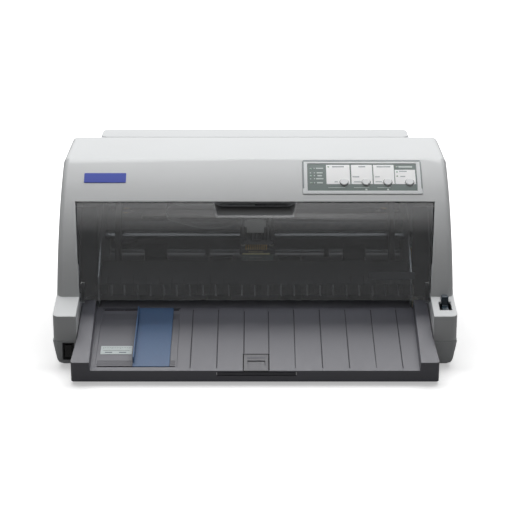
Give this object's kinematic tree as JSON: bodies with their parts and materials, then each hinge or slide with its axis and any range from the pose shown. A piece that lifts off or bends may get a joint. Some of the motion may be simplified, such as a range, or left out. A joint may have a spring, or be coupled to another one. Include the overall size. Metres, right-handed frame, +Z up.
{
  "type": "dot matrix printer",
  "caption": "Flatbed dot matrix printer with a smoked cover that tips forward, a sliding front sheet guide, a print carriage and a geared paper feed",
  "frame": {"origin": "middle of the footprint of the whole machine, at the underside of its feet", "axes": "+Z up, +Y to the back, +X to the right as seen by the user in front"},
  "size_m": [0.48, 0.37, 0.21],
  "materials": {
    "case_grey": "fine spark-eroded ABS",
    "case_light": "fine spark-eroded ABS",
    "smoked": "polished smoked polycarbonate",
    "dark_tray": "satin ABS",
    "edge_blue": "smooth moulded ABS",
    "lever_navy": "smooth moulded ABS",
    "panel_rim": "satin ABS",
    "panel_dark": "printed film",
    "button_grey": "satin ABS",
    "lamp": "clear lamp body",
    "board_green": "solder mask on glass epoxy",
    "black_plastic": "moulded ABS",
    "mech_plastic": "glass-filled moulding",
    "gear_white": "moulded acetal",
    "rubber": "ground rubber",
    "foot_rubber": "moulded rubber",
    "sheet_steel": "zinc plated sheet",
    "shaft_steel": "ground and plated",
    "screw_steel": "zinc plated",
    "motor_steel": "drawn can",
    "brass": "turned",
    "head_metal": "die cast, blackened",
    "heatsink": "black anodised fins",
    "mask_clear": "thin pressed strip",
    "ribbon_cloth": "inked nylon",
    "cable_film": "polyester film",
    "belt_rubber": "toothed belt"
  },
  "bodies": {
    "base": {"lower_case": "case_grey", "upper_case": "case_light", "rubber_feet": "foot_rubber", "case_screws": "screw_steel", "panel_frame": "panel_rim", "panel_plate": "panel_dark", "indicator_leds": "lamp", "panel_board": "board_green", "power_switch_housing": "black_plastic", "lever_pin": "shaft_steel", "rear_chute": "mech_plastic", "chassis_pan": "sheet_steel", "left_side_frame": "sheet_steel", "right_side_frame": "sheet_steel", "carriage_guide_shaft": "shaft_steel", "carriage_rail": "sheet_steel", "platen": "mech_plastic", "upper_paper_guide": "mech_plastic", "lower_paper_guide": "mech_plastic", "gear_bracket": "sheet_steel", "feed_motor": "motor_steel", "carriage_motor": "motor_steel", "timing_belt": "belt_rubber", "ribbon_cartridge": "black_plastic", "ribbon": "ribbon_cloth", "head_cable": "cable_film", "main_board": "board_green", "power_supply": "board_green", "interface_sockets": "sheet_steel", "ac_inlet": "black_plastic"},
    "cover": {"front_cover": "smoked"},
    "sheet_guide": {"front_sheet_guide": "dark_tray"},
    "edge_slider": {"edge_guide": "edge_blue"},
    "extension": {"sheet_guide_extension": "dark_tray"},
    "lever": {"release_lever": "lever_navy"},
    "rocker": {"power_rocker": "black_plastic"},
    "tear_key": {"tear_button": "button_grey"},
    "feed_key": {"feed_button": "button_grey"},
    "load_key": {"load_button": "button_grey"},
    "pause_key": {"pause_button": "button_grey"},
    "print_carriage": {"carriage": "mech_plastic", "print_head": "head_metal", "head_heatsink": "heatsink", "ribbon_mask": "mask_clear"},
    "drive_wheel": {"drive_pulley": "brass"},
    "idler_wheel": {"idler_pulley": "brass"},
    "knob": {"ribbon_knob": "black_plastic"},
    "front_feed": {"front_feed_shaft": "shaft_steel", "front_feed_rollers": "rubber", "front_roller_gear": "gear_white"},
    "rear_feed": {"rear_feed_shaft": "shaft_steel", "rear_feed_rollers": "rubber", "rear_roller_gear": "gear_white"},
    "front_press": {"front_pressure_rollers": "rubber"},
    "rear_press": {"rear_pressure_rollers": "rubber"},
    "large_gear": {"reduction_gear": "gear_white"},
    "motor_pinion": {"feed_pinion": "brass"},
    "rear_guide": {"rear_sheet_guide": "case_light"}
  },
  "joints": [
    {"name": "front_cover_hinge", "type": "hinge", "parent": "base", "child": "cover", "pos_m": [0, -0.082, 0.066], "axis": [1, 0, 0], "range_deg": [0, 80]},
    {"name": "sheet_guide_slide", "type": "slide", "parent": "base", "child": "sheet_guide", "axis": [0, -1, 0], "range_m": [0, 0.13]},
    {"name": "edge_guide_slide", "type": "slide", "parent": "sheet_guide", "child": "edge_slider", "axis": [1, 0, 0], "range_m": [-0.042, 0.007]},
    {"name": "extension_slide", "type": "slide", "parent": "sheet_guide", "child": "extension", "axis": [0, -0.9728, -0.2317], "range_m": [0, 0.04]},
    {"name": "release_lever_hinge", "type": "hinge", "parent": "base", "child": "lever", "pos_m": [0.2274, -0.092, 0.022], "axis": [1, 0, 0], "range_deg": [0, 16]},
    {"name": "power_rocker_hinge", "type": "hinge", "parent": "base", "child": "rocker", "pos_m": [-0.22125, -0.125, 0.0185], "axis": [1, 0, 0], "range_deg": [0, 14]},
    {"name": "tear_button_press", "type": "slide", "parent": "base", "child": "tear_key", "axis": [0, 0.602, -0.7985], "range_m": [0, 0.0015], "stiffness_N_per_m": 300},
    {"name": "feed_button_press", "type": "slide", "parent": "base", "child": "feed_key", "axis": [0, 0.602, -0.7985], "range_m": [0, 0.0015], "stiffness_N_per_m": 300},
    {"name": "load_button_press", "type": "slide", "parent": "base", "child": "load_key", "axis": [0, 0.602, -0.7985], "range_m": [0, 0.0015], "stiffness_N_per_m": 300},
    {"name": "pause_button_press", "type": "slide", "parent": "base", "child": "pause_key", "axis": [0, 0.602, -0.7985], "range_m": [0, 0.0015], "stiffness_N_per_m": 300},
    {"name": "carriage_slide", "type": "slide", "parent": "base", "child": "print_carriage", "axis": [1, 0, 0], "range_m": [-0.125, 0.12], "deforming": ["head_cable"]},
    {"name": "drive_pulley_spin", "type": "hinge", "parent": "base", "child": "drive_wheel", "pos_m": [-0.168, 0.092, 0.125], "axis": [0, 0, 1], "range_deg": [-1100, 1100]},
    {"name": "idler_pulley_spin", "type": "hinge", "parent": "base", "child": "idler_wheel", "pos_m": [0.168, 0.092, 0.125], "axis": [0, 0, 1], "range_deg": [-1100, 1100]},
    {"name": "ribbon_knob_spin", "type": "hinge", "parent": "base", "child": "knob", "pos_m": [-0.14, 0.092, 0.165], "axis": [0, 0, 1], "continuous": true},
    {"name": "front_feed_spin", "type": "hinge", "parent": "base", "child": "front_feed", "pos_m": [0, -0.03, 0.04447], "axis": [1, 0, 0], "continuous": true},
    {"name": "reduction_gear_spin", "type": "hinge", "parent": "base", "child": "large_gear", "pos_m": [0.196, 0.02784, 0.04874], "axis": [1, 0, 0], "continuous": true},
    {"name": "rear_feed_spin", "type": "hinge", "parent": "base", "child": "rear_feed", "pos_m": [0, 0.08569, 0.053], "axis": [1, 0, 0], "continuous": true},
    {"name": "feed_pinion_spin", "type": "hinge", "parent": "base", "child": "motor_pinion", "pos_m": [0.196, 0.01743, 0.09149], "axis": [1, 0, 0], "continuous": true},
    {"name": "front_pressure_spin", "type": "hinge", "parent": "base", "child": "front_press", "pos_m": [0, -0.0338, 0.06043], "axis": [1, 0, 0], "continuous": true},
    {"name": "rear_pressure_spin", "type": "hinge", "parent": "base", "child": "rear_press", "pos_m": [0, 0.08569, 0.0714], "axis": [1, 0, 0], "continuous": true},
    {"name": "rear_guide_hinge", "type": "hinge", "parent": "base", "child": "rear_guide", "pos_m": [0, 0.15, 0.201], "axis": [1, 0, 0], "range_deg": [0, 65]}
  ],
  "couplings": [
    {"joint": "drive_pulley_spin", "follows": "carriage_slide", "rad_per_m": 145},
    {"joint": "idler_pulley_spin", "follows": "carriage_slide", "rad_per_m": 145},
    {"joint": "reduction_gear_spin", "follows": "front_feed_spin", "ratio": -0.52632},
    {"joint": "rear_feed_spin", "follows": "front_feed_spin", "ratio": 1},
    {"joint": "feed_pinion_spin", "follows": "front_feed_spin", "ratio": 3.3333},
    {"joint": "front_pressure_spin", "follows": "front_feed_spin", "ratio": -1.2857},
    {"joint": "rear_pressure_spin", "follows": "front_feed_spin", "ratio": -1}
  ]
}
